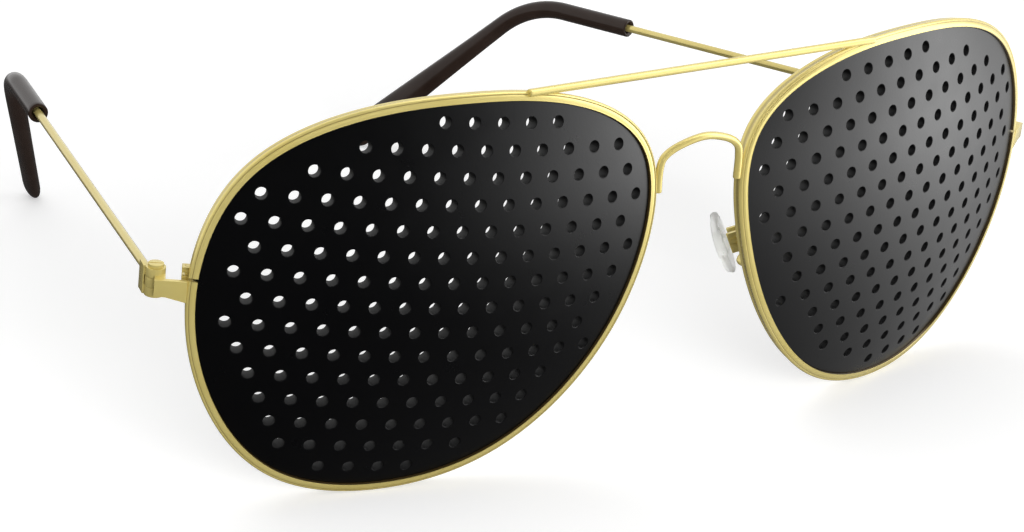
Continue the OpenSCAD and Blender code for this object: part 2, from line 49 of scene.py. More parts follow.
# The eye, in millimetres from the middle of one lens: x to the temple, y back, z up
eye = {
    "width": 59.0,    # inside the rim
    "height": 49.8,
    "noseGap": 16.4,  # between the two rims' inside edges
    "wrap": 13.0,     # degrees by which each eye turns round the face
    "sphere": 86.0,   # radius that the lens and the rim follow
    "outline": [(25.9, 1.5), (20.9, 14.9), (8.4, 21.8), (-6, 23.4), (-20.4, 21.7), (-31.7, 13.9),
                (-31.6, -0.4), (-24.9, -13.4), (-13.9, -22.8), (0, -26.3), (13.8, -23.6), (23, -12.8)],
    "measured": 6,    # places between two outline points, for the outline's own size
    "nudge": 0.02,    # to both sides of a place, for the outline's direction there
    "rimWide": 1.25,  # width of the rim wire, where other wires meet it
    "rimHalf": 1.0,   # half its depth
    "endAt": 0.0,     # places along the outline, counted in its points
    "browAt": 3.55,
    "footAt": 5.4,
    "armAt": 6.25,
}
knots = len(eye["outline"])
sphere = eye["sphere"]


def unit(vectors):
    return vectors / np.linalg.norm(vectors, axis=-1, keepdims=True)


# A smooth closed curve through a few points, read at any places along it: a cubic B-spline
def closedCurve(points):
    count = len(points)
    pull = np.zeros((count, count))
    for i in range(count):
        pull[i, i] = 4 / 6
        pull[i, i - 1] = pull[i, (i + 1) % count] = 1 / 6
    control = np.linalg.solve(pull, np.array(points, float))

    def read(places):
        places = np.atleast_1d(np.asarray(places, float)) % count
        i = np.floor(places).astype(int)
        t = (places - i)[:, None]
        weights = [(1 - t) ** 3, 3 * t**3 - 6 * t**2 + 4, -3 * t**3 + 3 * t**2 + 3 * t + 1, t**3]
        return sum(w * control[(i + k - 1) % count] for k, w in enumerate(weights)) / 6

    return read


drawn = closedCurve(eye["outline"])
stations = np.arange(0, knots, 1 / eye["measured"])
eyeScale = np.array([eye["width"], eye["height"]]) / np.ptp(drawn(stations), axis=0)


def ring(places):
    return drawn(places) * eyeScale


# The rim's inside edge, on its sphere
def seat(places):
    flat = ring(places)
    depth = sphere - np.sqrt(sphere**2 - (flat**2).sum(1))
    return np.stack([flat[:, 0], depth, flat[:, 1]], 1)


def deep(places):
    return unit(np.array([0, sphere, 0]) - seat(places))


def outward(places):
    places = np.atleast_1d(places)
    return np.cross(deep(places), unit(seat(places + eye["nudge"]) - seat(places - eye["nudge"])))


def rimPoint(places, out, back):
    return seat(places) + out * outward(places) + back * deep(places)


def turned(points, degrees):
    turn = math.radians(degrees)
    flat = np.array([[math.cos(turn), math.sin(turn), 0], [-math.sin(turn), math.cos(turn), 0], [0, 0, 1]])
    return np.asarray(points, float) @ flat


eyeMiddle = eye["noseGap"] / 2 - turned(seat(stations), eye["wrap"])[:, 0].min()


def fromEye(points):
    return turned(points, eye["wrap"]) + np.array([eyeMiddle, 0, 0])


# The hinge, outwards from the rim's inside edge and behind the rim's middle
hinge = {"out": 4.9, "back": 1.5}
endOutward = outward(eye["endAt"])[0]
endTurn = math.degrees(math.atan2(endOutward[1], endOutward[0])) + eye["wrap"]
hingePlace = fromEye(seat(eye["endAt"]))[0] + turned([hinge["out"], hinge["back"], 0], endTurn)

# The glasses lean back on both rims and both tips: the frame's fold joint says by how much
foldJoint = next(j for j in frame["joints"] if j["name"] == "temple_left_fold")
lean = math.atan2(-foldJoint["axis"][1], foldJoint["axis"][2])
leanTurn = np.array(Matrix.Rotation(lean, 3, "X"))
stand = np.array(foldJoint["pos_m"]) / mm - leanTurn @ hingePlace


# From the upright front, in millimetres, to the frame, in metres
def inRow(points, side=1):
    points = np.atleast_2d(points) * np.array([side, 1, 1])
    return (points @ leanTurn.T + stand) * mm


def linkObject(name, data):
    made = bpy.data.objects.new(name, data)
    bpy.context.scene.collection.objects.link(made)
    return made


def newMesh(name, points, edges=(), faces=()):
    mesh = bpy.data.meshes.new(name)
    mesh.from_pydata([tuple(p) for p in points], edges, faces)
    return mesh


# Faces turned outwards and smooth, but for edges that turn by more than so many degrees
def faceOutwards(mesh, sharp):
    work = bmesh.new()
    work.from_mesh(mesh)
    bmesh.ops.recalc_face_normals(work, faces=work.faces)
    work.to_mesh(mesh)
    work.free()
    mesh.shade_smooth()
    mesh.set_sharp_from_angle(angle=math.radians(sharp))


# A skin over rings of points, closed at both ends
def loft(name, rings, sharp):
    count, size = rings.shape[:2]
    faces = []
    for i in range(count - 1):
        for j in range(size):
            k = (j + 1) % size
            faces.append((i * size + j, i * size + k, (i + 1) * size + k, (i + 1) * size + j))
    faces.append(tuple(range(size)))
    faces.append(tuple(range((count - 1) * size, count * size)))
    mesh = newMesh(name, rings.reshape(-1, 3), faces=faces)
    faceOutwards(mesh, sharp)
    return linkObject(name, mesh)


def finish(piece, body, material, slot, *nodes):
    piece.data.materials.clear()
    piece.data.materials.append(material)
    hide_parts(*nodes)
    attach(piece, body)


# Node trees are built with one short call for each node
def addNode(tree, kind, inputs=None, **settings):
    made = tree.nodes.new(kind)
    for name, value in settings.items():
        setattr(made, name, value)
    for key, value in (inputs or {}).items():
        if isinstance(value, bpy.types.NodeSocket):
            tree.links.new(value, made.inputs[key])
        else:
            made.inputs[key].default_value = value
    return made


def addMath(tree, operation, first, second=0.0):
    return addNode(tree, "ShaderNodeMath", {0: first, 1: second}, operation=operation).outputs[0]


def plus(tree, first, second):
    return addMath(tree, "ADD", first, second)


def minus(tree, first, second):
    return addMath(tree, "SUBTRACT", first, second)


def times(tree, first, second):
    return addMath(tree, "MULTIPLY", first, second)


def over(tree, first, second):
    return addMath(tree, "DIVIDE", first, second)


def vectorMath(tree, operation, first, second=(0, 0, 0)):
    made = addNode(tree, "ShaderNodeVectorMath", {0: first, 1: second}, operation=operation)
    return made.outputs["Value" if operation in ("LENGTH", "DOT_PRODUCT") else "Vector"]


# Carries a value from one span to another
def mapRange(tree, value, span, target, kind="LINEAR"):
    inputs = {"Value": value, "From Min": span[0], "From Max": span[1],
              "To Min": target[0], "To Max": target[1]}
    return addNode(tree, "ShaderNodeMapRange", inputs, interpolation_type=kind).outputs["Result"]


# Materials: sizes of noise are counts per metre
gold = {
    "colour": (0.81, 0.68, 0.25),
    "shade": (0.73, 0.58, 0.16),  # where the plating is thinner
    "shadeShare": 0.5,
    "shadeSize": 120.0,
    "groove": (0.07, 0.045, 0.015),  # painted shade, in the fine lines of the rims and beside the lenses
    "metallic": 0.5,
    "coat": 0.3,          # clear lacquer
    "coatRoughness": 0.12,
    "roughness": (0.20, 0.27),
    "patchSize": 420.0,   # of the patches over which the roughness changes
    "grainSize": 900.0,   # polishing grain
    "grain": 0.012,
}
lensPlastic = {
    "colour": (0.0012, 0.0012, 0.0015),
    "specular": 0.65,
    "roughness": (0.27, 0.33),
    "patchSize": 260.0,
    "boreRoughness": 0.34,  # added inside the drilled holes
    "grainSize": 3200.0,
    "grain": 0.16,
}
sleevePlastic = {
    "colour": (0.024, 0.014, 0.010),
    "pale": (0.034, 0.022, 0.017),
    "paleSize": 180.0,
    "specular": 0.25,
    "roughness": (0.15, 0.22),
    "patchSize": 600.0,
    "grainSize": 1500.0,
    "grain": 0.06,
}
padPlastic = {
    "colour": (0.98, 0.985, 0.97),
    "clearness": 0.8,
    "ior": 1.3,
    "roughness": (0.26, 0.38),
    "patchSize": 500.0,
    "grainSize": 1200.0,
    "grain": 0.03,
}
noise = {
    "span": (0.3, 0.7),     # where most of its values lie
    "detail": 3.0,
    "grainDetail": 4.0,
    "grainDepth": 0.00005,  # metres
}


def opaque(colour):
    return (*colour, 1)


# Fixed values are set on the shader's sockets
def newMaterial(name, fixed):
    material = bpy.data.materials.new(name)
    material.use_nodes = True
    tree = material.node_tree
    shader = tree.nodes["Principled BSDF"]
    for socket, value in fixed.items():
        shader.inputs[socket].default_value = value
    place = addNode(tree, "ShaderNodeTexCoord").outputs["Object"]
    return material, tree, shader, place


def addNoise(tree, place, size, detail):
    inputs = {"Vector": place, "Scale": size, "Detail": detail}
    return addNode(tree, "ShaderNodeTexNoise", inputs).outputs["Fac"]


# Soft patches from a low to a high value
def addPatches(tree, place, size, low, high):
    return mapRange(tree, addNoise(tree, place, size, noise["detail"]), noise["span"], (low, high))


def addTint(tree, factor, first, second):
    inputs = {"Factor": factor, "A": first, "B": second}
    return addNode(tree, "ShaderNodeMix", inputs, data_type="RGBA").outputs["Result"]


def readPainted(tree, name):
    return addNode(tree, "ShaderNodeAttribute", attribute_name=name).outputs["Fac"]


# A roughness that changes in patches, with more where asked, and a fine grain
def addSurface(tree, shader, place, look, more=0.0):
    patches = addPatches(tree, place, look["patchSize"], *look["roughness"])
    tree.links.new(plus(tree, patches, more), shader.inputs["Roughness"])
    fine = addNoise(tree, place, look["grainSize"], noise["grainDetail"])
    bump = addNode(tree, "ShaderNodeBump",
                   {"Height": fine, "Strength": look["grain"], "Distance": noise["grainDepth"]})
    tree.links.new(bump.outputs["Normal"], shader.inputs["Normal"])


def goldFinish():
    material, tree, shader, place = newMaterial("polished gold plating", {
        "Metallic": gold["metallic"], "Coat Weight": gold["coat"], "Coat Roughness": gold["coatRoughness"]})
    thin = addPatches(tree, place, gold["shadeSize"], 0.0, gold["shadeShare"])
    plated = addTint(tree, thin, opaque(gold["colour"]), opaque(gold["shade"]))
    # painted shade: where the rim's groove attribute is set, the gold darkens towards the groove colour
    grooveShaded = addTint(tree, readPainted(tree, "groove"), plated, opaque(gold["groove"]))
    tree.links.new(grooveShaded, shader.inputs["Base Color"])
    addSurface(tree, shader, place, gold)
    return material


def lensFinish():
    material, tree, shader, place = newMaterial("semi-gloss black plastic", {
        "Base Color": opaque(lensPlastic["colour"]), "Specular IOR Level": lensPlastic["specular"]})
    drilled = times(tree, readPainted(tree, "bore"), lensPlastic["boreRoughness"])
    addSurface(tree, shader, place, lensPlastic, drilled)
    return material


def sleeveFinish():
    material, tree, shader, place = newMaterial("satin dark brown sleeve", {
        "Specular IOR Level": sleevePlastic["specular"]})
    streaks = addPatches(tree, place, sleevePlastic["paleSize"], 0.0, 1.0)
    brown = addTint(tree, streaks, opaque(sleevePlastic["colour"]), opaque(sleevePlastic["pale"]))
    tree.links.new(brown, shader.inputs["Base Color"])
    addSurface(tree, shader, place, sleevePlastic)
    return material


def padFinish():
    material, tree, shader, place = newMaterial("clear pad", {
        "Base Color": opaque(padPlastic["colour"]), "Transmission Weight": padPlastic["clearness"],
        "IOR": padPlastic["ior"]})
    addSurface(tree, shader, place, padPlastic)
    return material


goldMaterial = goldFinish()
lensMaterial = lensFinish()
sleeveMaterial = sleeveFinish()
padMaterial = padFinish()
print("materials made")

# Rims: one wire with two beads outside, a flat band in front and a thin inner lip
rimWire = {
    "width": 1.22,
    "depth": 2.0,
    "bead": 0.40,         # radius of a bead
    "beadArc": (-80, 40, 5),  # degrees round a bead: from, to and between two points
    "valley": 0.10,       # depth of the line between the beads
    "valleyHalf": 0.12,   # half its width
    "valleyDip": 0.03,    # how much deeper its middle lies
    "line": 0.035,        # depth of the fine line that parts band and bead
    "lineWide": 0.12,
    "lip": 0.13,          # bevel of the inner lip
    "lipMiddle": 0.3,     # where the bevel's middle point lies, as a share
    "crown": 0.05,        # how far the band bulges
    "bandPoints": 5,
    "seatWide": 0.46,     # half the width of the groove that holds the lens
    "seatDeep": 0.65,
    "split": 0.4,         # gap where the rim is closed by its screw
    "splitUp": 1.2,       # height of the gap above the middle of the end plate
    "perKnot": 24,        # rings between two outline points
    "wallShade": 1.0,      # shares of the groove colour, which is painted shade: beside the lens, in the fine lines, in the valley
    "lineShade": 0.6,
    "valleyShade": 0.4,
}


# Points round the rim's section: how far outwards, how far back, and how dark with painted shade
def rimSection():
    wide, half, bead = rimWire["width"], rimWire["depth"] / 2, rimWire["bead"]
    lip, crown, lineWide = rimWire["lip"], rimWire["crown"], rimWire["lineWide"]
    # wall is the share of painted shade beside the lens
    wall, valley = rimWire["wallShade"], wide - rimWire["valley"]
    lipMiddle = lip * rimWire["lipMiddle"]
    front = [(0, -rimWire["seatWide"], wall), (0, lip - half, wall), (lipMiddle, lipMiddle - half, 0)]
    bandEnd = wide - bead - lineWide
    for share in np.linspace(0, 1, rimWire["bandPoints"]):
        front.append((lip + share * (bandEnd - lip), crown * (1 - 4 * share * (1 - share)) - half, 0))
    front.append((bandEnd + lineWide / 2, crown + rimWire["line"] - half, rimWire["lineShade"]))
    for degrees in range(*rimWire["beadArc"]):
        angle = math.radians(degrees)
        front.append((wide - bead + bead * math.cos(angle), -half + bead + bead * math.sin(angle), 0))
    front.append((valley, -rimWire["valleyHalf"], rimWire["valleyShade"]))
    middle = (valley - rimWire["valleyDip"], 0, rimWire["valleyShade"])
    back = [(out, -ahead, dark) for out, ahead, dark in reversed(front)]
    groove = [(rimWire["seatDeep"], rimWire["seatWide"], 0), (rimWire["seatDeep"], -rimWire["seatWide"], 0)]
    return front + [middle] + back + groove


def goldRim(side, name):
    edge = np.linalg.norm(seat(eye["endAt"] + 0.5) - seat(eye["endAt"] - 0.5))  # one outline step
    gap = rimWire["split"] / 2 / edge
    splitAt = eye["endAt"] + rimWire["splitUp"] / edge
    places = np.linspace(splitAt + gap, splitAt + knots - gap, knots * rimWire["perKnot"])
    section = rimSection()
    rings = np.stack([fromEye(rimPoint(places, out, back)) for out, back, dark in section], 1)
    rings = inRow(rings.reshape(-1, 3), side).reshape(rings.shape)
    piece = loft("gold_rim_" + name, rings, sharp=35)
    # each point's share of painted shade, kept in the groove attribute
    shade = [dark for out, back, dark in section] * len(places)
    piece.data.attributes.new("groove", "FLOAT", "POINT").data.foreach_set("value", shade)
    finish(piece, "front", goldMaterial, "gold", "rim_" + name)


for side, name in bothSides:
    goldRim(side, name)
print("rims made")

# Lenses: domed plates, drilled through in staggered rows
lens = {
    "Thickness": 1.8,
    "Front": 0.6,         # how far the front stands ahead of the middle of the rim
    "Hole Diameter": 1.5,
    "Edge Break": 0.07,   # bevel at both ends of a hole
    "Pitch": 3.86,
    "Row Pitch": 3.245,
    "Row Tilt": 4.9,      # degrees, rising to the temple
    "Middle Across": 0.6,
    "Middle Up": 5.45,
    "Margin": 1.9,        # least distance from a hole's middle to the rim
    "Sphere Radius": sphere,
    "Hole Sides": 20,
}
notLengths = ("Row Tilt", "Hole Sides")
tongue = {  # the thin edge of a lens, which sits in the rim's groove
    "gap": 0.06,    # from the rim's inside edge to the drilled plate
    "bite": 0.3,    # how far it goes into the groove
    "thick": 0.8,
    "root": 0.5,    # how far inside the plate it starts
    "perKnot": 12,  # points between two outline points
}


def newTree(name, inputs):
    tree = bpy.data.node_groups.new(name, "GeometryNodeTree")
    tree.interface.new_socket("Geometry", in_out="INPUT", socket_type="NodeSocketGeometry")
    for label, kind in inputs:
        tree.interface.new_socket(label, in_out="INPUT", socket_type="NodeSocket" + kind)
    tree.interface.new_socket("Geometry", in_out="OUTPUT", socket_type="NodeSocketGeometry")
    return tree, addNode(tree, "NodeGroupInput").outputs


# Every tree ends alike: instances made real, then the material
def closeTree(tree, geometry, material):
    real = addNode(tree, "GeometryNodeRealizeInstances", {"Geometry": geometry}).outputs[0]
    painted = addNode(tree, "GeometryNodeSetMaterial", {"Geometry": real, "Material": material}).outputs[0]
    addNode(tree, "NodeGroupOutput", {"Geometry": painted})


# Runs a tree on a base mesh and keeps the result as a plain mesh
def grow(name, base, tree, values):
    carrier = linkObject(name + "_base", base)
    modifier = carrier.modifiers.new("grow", "NODES")
    modifier.node_group = tree
    for item in tree.interface.items_tree:
        if item.in_out == "INPUT" and item.name in values:
            modifier[item.identifier] = values[item.name]
    graph = bpy.context.evaluated_depsgraph_get()
    mesh = bpy.data.meshes.new_from_object(carrier.evaluated_get(graph))
    mesh.name = name
    bpy.data.objects.remove(carrier)
    return mesh


def position(tree):
    return addNode(tree, "GeometryNodeInputPosition").outputs[0]


def positionXyz(tree):
    return addNode(tree, "ShaderNodeSeparateXYZ", {"Vector": position(tree)}).outputs


def makeXyz(tree, x, y, z):
    return addNode(tree, "ShaderNodeCombineXYZ", {"X": x, "Y": y, "Z": z}).outputs[0]


def setPlace(tree, geometry, x, y, z):
    inputs = {"Geometry": geometry, "Position": makeXyz(tree, x, y, z)}
    return addNode(tree, "GeometryNodeSetPosition", inputs).outputs[0]


def asCurve(tree, mesh, chosen=True):
    return addNode(tree, "GeometryNodeMeshToCurve", {"Mesh": mesh, "Selection": chosen}).outputs[0]


def filled(tree, curve):
    return addNode(tree, "GeometryNodeFillCurve", {"Curve": curve}).outputs[0]


def joined(tree, parts):
    whole = addNode(tree, "GeometryNodeJoinGeometry")
    for part in parts:
        tree.links.new(part, whole.inputs[0])
    return whole.outputs[0]


def readNamed(tree, name, kind):
    made = addNode(tree, "GeometryNodeInputNamedAttribute", {"Name": name}, data_type=kind)
    return made.outputs["Attribute"]


def storeNamed(tree, geometry, name, value, kind, domain):
    inputs = {"Geometry": geometry, "Name": name, "Value": value}
    return addNode(tree, "GeometryNodeStoreNamedAttribute", inputs, data_type=kind, domain=domain).outputs[0]


# Height of a sphere about the origin, over each point's place in plan
def overSphere(tree, radius, x, y):
    flat = plus(tree, times(tree, x, x), times(tree, y, y))
    return addMath(tree, "SQRT", minus(tree, times(tree, radius, radius), flat))


def frontRadius(tree, given):
    return plus(tree, given["Sphere Radius"], given["Front"])


# Staggered places for the holes, tilted, and kept where they are clear of the rim
def holePlaces(tree, given, rimEdge):
    columns, rows = 24, 24  # more than an eye holds
    index = addNode(tree, "GeometryNodeInputIndex").outputs[0]
    column = minus(tree, addMath(tree, "MODULO", index, columns), columns / 2)
    row = minus(tree, addMath(tree, "FLOOR", over(tree, index, columns)), rows / 2)
    shift = times(tree, addMath(tree, "FLOORED_MODULO", row, 2.0), 0.5)  # half a pitch in every other row
    along = times(tree, plus(tree, column, shift), given["Pitch"])
    down = times(tree, row, given["Row Pitch"])
    tilt = addMath(tree, "RADIANS", given["Row Tilt"])
    cosTilt, sinTilt = addMath(tree, "COSINE", tilt), addMath(tree, "SINE", tilt)
    across = plus(tree, times(tree, along, cosTilt), times(tree, down, sinTilt))
    up = minus(tree, times(tree, along, sinTilt), times(tree, down, cosTilt))
    spots = addNode(tree, "GeometryNodeMeshLine", {"Count": columns * rows}).outputs[0]
    spots = setPlace(tree, spots, plus(tree, across, given["Middle Across"]),
                     plus(tree, up, given["Middle Up"]), 0.0)

    near = addNode(tree, "GeometryNodeProximity", {"Geometry": rimEdge}, target_element="EDGES")
    tight = addMath(tree, "LESS_THAN", near.outputs["Distance"], given["Margin"])
    start, length = 0.01, 0.1  # metres: a ray from above the flat eye, down through it
    ray = {"Target Geometry": filled(tree, asCurve(tree, rimEdge)), "Ray Direction": (0, 0, -1),
           "Source Position": vectorMath(tree, "ADD", position(tree), (0, 0, start)), "Ray Length": length}
    inside = addNode(tree, "GeometryNodeRaycast", ray).outputs["Is Hit"]
    drop = addMath(tree, "MAXIMUM", tight, minus(tree, 1.0, inside))
    kept = addNode(tree, "GeometryNodeDeleteGeometry", {"Geometry": spots, "Selection": drop}).outputs[0]
    return addNode(tree, "GeometryNodeMeshToPoints", {"Mesh": kept}).outputs[0]


# A wall for each hole: it stands off from the sphere's middle, so only its turn differs
def holeWalls(tree, given, spots):
    x, y, z = positionXyz(tree)
    toSpot = makeXyz(tree, x, y, overSphere(tree, given["Sphere Radius"], x, y))
    spots = storeNamed(tree, spots, "way", toSpot, "FLOAT_VECTOR", "POINT")
    spots = setPlace(tree, spots, 0.0, 0.0, 0.0)
    turn = addNode(tree, "FunctionNodeAlignRotationToVector",
                   {"Vector": readNamed(tree, "way", "FLOAT_VECTOR")}, axis="Z").outputs[0]

    bore = over(tree, given["Hole Diameter"], 2.0)
    wide = plus(tree, bore, given["Edge Break"])
    length, segments = 6.0, 3  # a plain tube, whose four rings then go to the faces and bevels
    tube = {"Vertices": given["Hole Sides"], "Side Segments": segments, "Radius": bore, "Depth": length}
    wall = addNode(tree, "GeometryNodeMeshCylinder", tube, fill_type="NONE").outputs[0]
    outer = addMath(tree, "GREATER_THAN", addMath(tree, "ABSOLUTE", z), length / segments)
    isBack = addMath(tree, "LESS_THAN", z, 0.0)
    face = minus(tree, frontRadius(tree, given), times(tree, isBack, given["Thickness"]))
    outerZ = addMath(tree, "SQRT", minus(tree, times(tree, face, face), times(tree, wide, wide)))
    innerZ = minus(tree, face, times(tree, addMath(tree, "SIGN", z), given["Edge Break"]))
    wallZ = plus(tree, innerZ, times(tree, outer, minus(tree, outerZ, innerZ)))
    grown = plus(tree, 1.0, times(tree, outer, minus(tree, over(tree, wide, bore), 1.0)))
    wall = setPlace(tree, wall, times(tree, x, grown), times(tree, y, grown), wallZ)
    walls = addNode(tree, "GeometryNodeInstanceOnPoints",
                    {"Points": spots, "Instance": wall, "Rotation": turn}).outputs[0]
    walls = addNode(tree, "GeometryNodeRealizeInstances", {"Geometry": walls}).outputs[0]
    return storeNamed(tree, walls, "bore", 1.0, "FLOAT", "FACE")


# The plate's front and back: the open ends of the walls are the holes in them
def plateFaces(tree, given, lensEdge, walls):
    radius, front = given["Sphere Radius"], frontRadius(tree, given)
    x, y, z = positionXyz(tree)
    edgeFaces = addNode(tree, "GeometryNodeInputMeshEdgeNeighbors").outputs[0]
    openEnd = addMath(tree, "COMPARE", edgeFaces, 1.0)
    reach = vectorMath(tree, "LENGTH", position(tree))
    inFront = addMath(tree, "GREATER_THAN", reach, radius)  # the rim's middle lies between the faces
    sheets = []
    for isFront, face in ((1.0, front), (0.0, minus(tree, front, given["Thickness"]))):
        chosen = times(tree, openEnd, addMath(tree, "COMPARE", inFront, isFront))
        holes = setPlace(tree, asCurve(tree, walls, chosen), x, y, 0.0)
        grown = over(tree, face, radius)
        edge = setPlace(tree, lensEdge, times(tree, x, grown), times(tree, y, grown), 0.0)
        sheet = filled(tree, joined(tree, [asCurve(tree, edge), holes]))
        sheets.append(setPlace(tree, sheet, x, y, overSphere(tree, face, x, y)))
    return sheets


# The plate's outer edge: the lens's outline drawn through the thickness
def plateEdge(tree, given, lensEdge):
    radius = given["Sphere Radius"]
    x, y, z = positionXyz(tree)
    grown = over(tree, frontRadius(tree, given), radius)
    edge = setPlace(tree, lensEdge, times(tree, x, grown), times(tree, y, grown),
                    times(tree, grown, overSphere(tree, radius, x, y)))
    inputs = {"Mesh": edge, "Offset": vectorMath(tree, "NORMALIZE", position(tree)),
              "Offset Scale": times(tree, given["Thickness"], -1.0)}
    return addNode(tree, "GeometryNodeExtrudeMesh", inputs, mode="EDGES").outputs["Mesh"]


# The drilled lens, with the sphere's middle at the origin, z to the front and y up
def lensTree():
    inputs = [(label, "Int" if label == "Hole Sides" else "Float") for label in lens]
    tree, given = newTree("drilled lens", inputs + [("Material", "Material")])
    # the base mesh holds two flat loops: the rim's inside edge and the lens's own edge
    parted = addNode(tree, "GeometryNodeSeparateGeometry", {
        "Geometry": given["Geometry"], "Selection": readNamed(tree, "lensEdge", "BOOLEAN")}).outputs
    lensEdge, rimEdge = parted["Selection"], parted["Inverted"]
    walls = holeWalls(tree, given, holePlaces(tree, given, rimEdge))
    parts = [walls, *plateFaces(tree, given, lensEdge, walls), plateEdge(tree, given, lensEdge)]
    merged = addNode(tree, "GeometryNodeMergeByDistance", {"Geometry": joined(tree, parts), "Distance": weld})
    closeTree(tree, merged.outputs[0], given["Material"])
    return tree


def loopMesh(name, loops):
    points, edges, flags = [], [], []
    for flag, loop in loops:
        first = len(points)
        points += [(p[0] * mm, p[1] * mm, 0) for p in loop]
        edges += [(first + i, first + (i + 1) % len(loop)) for i in range(len(loop))]
        flags += [flag] * len(loop)
    mesh = newMesh(name, points, edges)
    mesh.attributes.new("lensEdge", "BOOLEAN", "POINT").data.foreach_set("value", flags)
    return mesh


# The tongue: a closed band round the edge, in the eye's own millimetres
def tongueBand(work, places, side):
    root, bite, half = -tongue["root"], tongue["bite"], tongue["thick"] / 2
    section = [(root, -half), (bite, -half), (bite, half), (root, half)]
    loops = [[work.verts.new(p) for p in inRow(fromEye(rimPoint(places, out, back)), side)]
             for out, back in section]
    for k, here in enumerate(loops):
        after = loops[(k + 1) % len(loops)]
        for i in range(len(here)):
            work.faces.new((here[i - 1], here[i], after[i], after[i - 1]))


# The two faces follow the sphere exactly, so their shading does too
def sphereNormals(mesh, faceRadii, middle):
    points = np.array([v.co for v in mesh.vertices])
    away = points - middle
    reach = np.linalg.norm(away, axis=1)
    normals = np.array([c.vector for c in mesh.corner_normals])
    corner = np.array([loop.vertex_index for loop in mesh.loops])
    for polygon in mesh.polygons:
        own = list(polygon.vertices)
        isTriangle = len(own) == 3  # only the filled sheets have triangles
        for radius, sign in faceRadii:
            if np.all(np.abs(reach[own] - radius) < weld) and isTriangle:
                for loop in polygon.loop_indices:
                    normals[loop] = sign * away[corner[loop]] / reach[corner[loop]]
    mesh.normals_split_custom_set([tuple(n) for n in normals])


def drilledLens(tree, side, name):
    places = np.arange(0, knots, 1 / tongue["perKnot"])
    edge = ring(places)
    out = outward(places)[:, [0, 2]]
    base = loopMesh("lens_loops", [(False, edge), (True, edge - tongue["gap"] * out)])
    values = {label: value if label in notLengths else value * mm for label, value in lens.items()}
    values["Material"] = lensMaterial
    mesh = grow("drilled_lens_" + name, base, tree, values)
    points = np.array([v.co for v in mesh.vertices]) / mm
    placed = fromEye(np.stack([points[:, 0], sphere - points[:, 2], points[:, 1]], 1))
    mesh.vertices.foreach_set("co", inRow(placed, side).ravel())
    work = bmesh.new()
    work.from_mesh(mesh)
    tongueBand(work, places, side)
    openEdges = sum(1 for e in work.edges if len(e.link_faces) != 2)
    work.to_mesh(mesh)
    work.free()
    faceOutwards(mesh, sharp=30)
    middle = inRow(fromEye([[0, sphere, 0]]), side)[0]
    front = sphere + lens["Front"]
    sphereNormals(mesh, ((front * mm, 1), ((front - lens["Thickness"]) * mm, -1)), middle)
    print("lens", name, "open edges", openEdges)
    piece = linkObject("drilled_lens_" + name, mesh)
    finish(piece, "front", lensMaterial, "lens_plastic", "lens_" + name)


drill = lensTree()
for side, name in bothSides:
    drilledLens(drill, side, name)
print("lenses drilled")

# Round wires follow a line of points: a profile circle is swept along it
wireRun = {
    "rounding": 0.12,   # of both ends
    "endTurns": (0, 25, 50, 70, 90),  # degrees round an end, one for each ring
    "step": 0.4,        # between two rings
    "firstGap": 0.25,   # from the rounded ends to the rings between them
    "lastGap": 0.2,
}


def wireTree():
    tree, given = newTree("round wire", [("Sides", "Int"), ("Material", "Material")])
    circle = addNode(tree, "GeometryNodeCurvePrimitiveCircle", {"Resolution": given["Sides"], "Radius": 1.0})
    inputs = {"Curve": asCurve(tree, given["Geometry"]), "Profile Curve": circle.outputs["Curve"],
              "Scale": readNamed(tree, "thick", "FLOAT"), "Fill Caps": True}
    swept = addNode(tree, "GeometryNodeCurveToMesh", inputs).outputs[0]
    closeTree(tree, swept, given["Material"])
    return tree


wireSweep = wireTree()


# A gold wire along points of the upright front, in millimetres
def goldWire(name, body, node, path, radius, side=1, sides=28):
    path = np.asarray(path, float)
    gaps = np.linalg.norm(np.diff(path, axis=0), axis=1)
    run = np.concatenate([[0], np.cumsum(gaps)])
    turns = [math.radians(degrees) for degrees in wireRun["endTurns"]]
    ease = [wireRun["rounding"] * (1 - math.cos(turn)) for turn in turns]
    thin = [radius - wireRun["rounding"] * (1 - math.sin(turn)) for turn in turns]
    first, last = ease[-1] + wireRun["firstGap"], run[-1] - ease[-1] - wireRun["lastGap"]
    middle = np.arange(first, last, wireRun["step"])
    places = np.concatenate([ease, middle, [run[-1] - e for e in reversed(ease)]])
    thick = np.concatenate([thin, np.full(len(middle), radius), thin[::-1]])
    points = inRow(np.stack([np.interp(places, run, path[:, k]) for k in range(3)], 1), side)
    base = newMesh(name, points, [(i, i + 1) for i in range(len(points) - 1)])
    base.attributes.new("thick", "FLOAT", "POINT").data.foreach_set("value", thick * mm)
    mesh = grow(name, base, wireSweep, {"Sides": sides, "Material": goldMaterial})
    faceOutwards(mesh, sharp=40)
    finish(linkObject(name, mesh), body, goldMaterial, "gold", node)


# A smooth line through a few chosen points
def smoothLine(points, steps=16):
    points = np.asarray(points, float)
    last = len(points) - 1
    line = []
    for i in range(last):
        before = (points[i + 1] - points[max(i - 1, 0)]) / 2
        after = (points[min(i + 2, last)] - points[i]) / 2
        for t in np.arange(steps) / steps:
            line.append((2 * t**3 - 3 * t**2 + 1) * points[i] + (t**3 - 2 * t**2 + t) * before
                        + (3 * t**2 - 2 * t**3) * points[i + 1] + (t**3 - t**2) * after)
    return np.array(line + [points[last]])


# Brow bar: a straight wire brazed on the top of both rims
browBar = {
    "radius": 0.5,
    "overhang": 0.6,  # past the middle of its seat on the rim
    "sunk": 0.2,
    "forward": 0.1,
}


def browWire():
    out, back = eye["rimWide"] - browBar["sunk"], -eye["rimHalf"] - browBar["forward"]
    seatPoint = fromEye(rimPoint(eye["browAt"], out, back))[0]
    half = seatPoint[0] + browBar["overhang"]
    path = [(-half, seatPoint[1], seatPoint[2]), (half, seatPoint[1], seatPoint[2])]
    goldWire("brow_wire", "front", "brow_bar", path, browBar["radius"])


